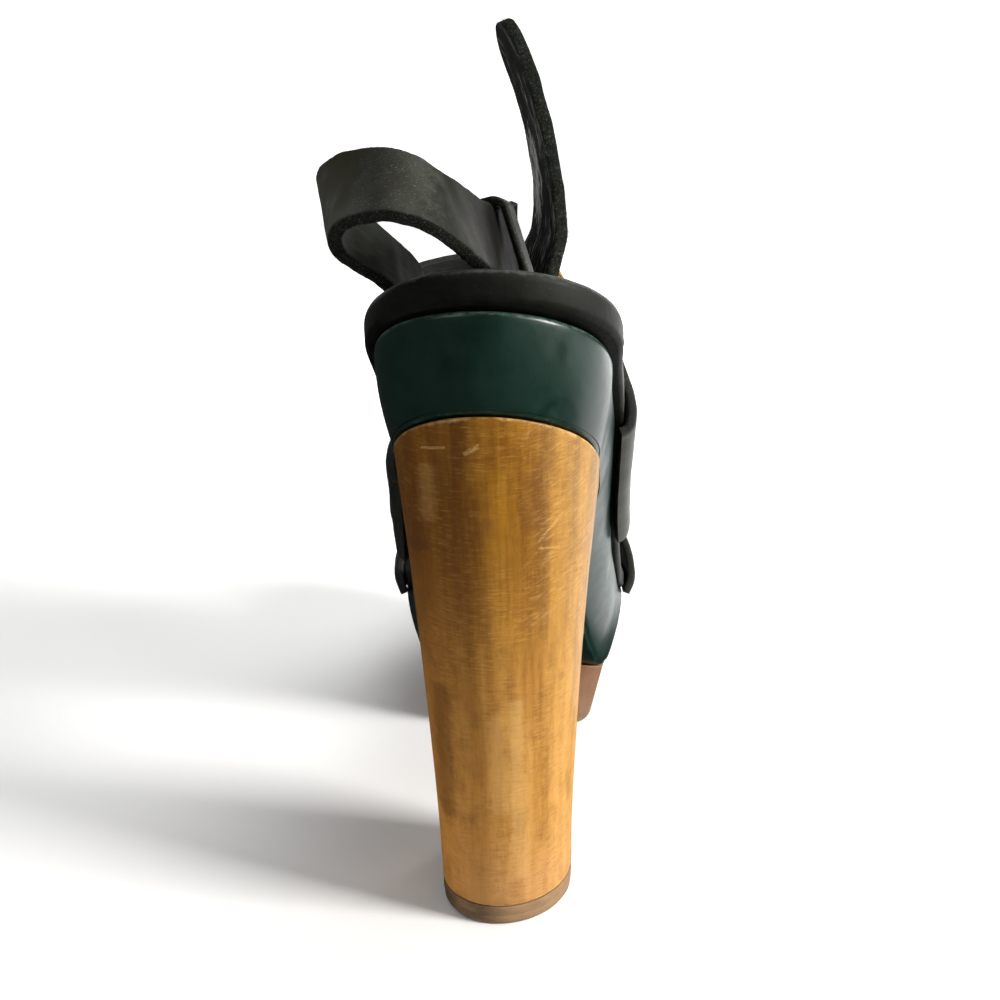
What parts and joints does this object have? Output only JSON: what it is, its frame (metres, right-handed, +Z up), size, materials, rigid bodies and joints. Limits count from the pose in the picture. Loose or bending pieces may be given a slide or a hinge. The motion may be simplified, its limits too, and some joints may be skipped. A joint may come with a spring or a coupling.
{
  "type": "platform sandal",
  "caption": "Right platform sandal with a tall wooden heel, green wrapped midsole, black leather bands, slack sling strap and an upright buckled ankle strap.",
  "frame": {"origin": "middle of the heel tip's ground face", "axes": "+X to the outer side of the foot, +Y towards the toe, +Z up"},
  "size_m": [0.0855, 0.2101, 0.2114],
  "materials": {
    "black_leather": "satin pebbled grain",
    "green_leather": "smooth satin",
    "heel_wood": "scuffed clear lacquer",
    "sole_wood": "stained, worn",
    "heel_rubber": "matte, worn",
    "sole_rubber": "matte, worn",
    "brass": "polished, slightly dull"
  },
  "bodies": {
    "root": {"footbed": "black_leather", "midsole": "green_leather", "heel_block": "heel_wood", "heel_tip": "heel_rubber", "forefoot_block": "sole_wood", "forefoot_tread": "sole_rubber", "vamp_band": "black_leather", "toe_band": "black_leather", "sling_strap": "black_leather", "ankle_strap": "black_leather", "buckle_tab": "black_leather", "buckle_frame": "brass", "buckle_prong": "brass", "strap_keeper": "black_leather"}
  },
  "joints": []
}
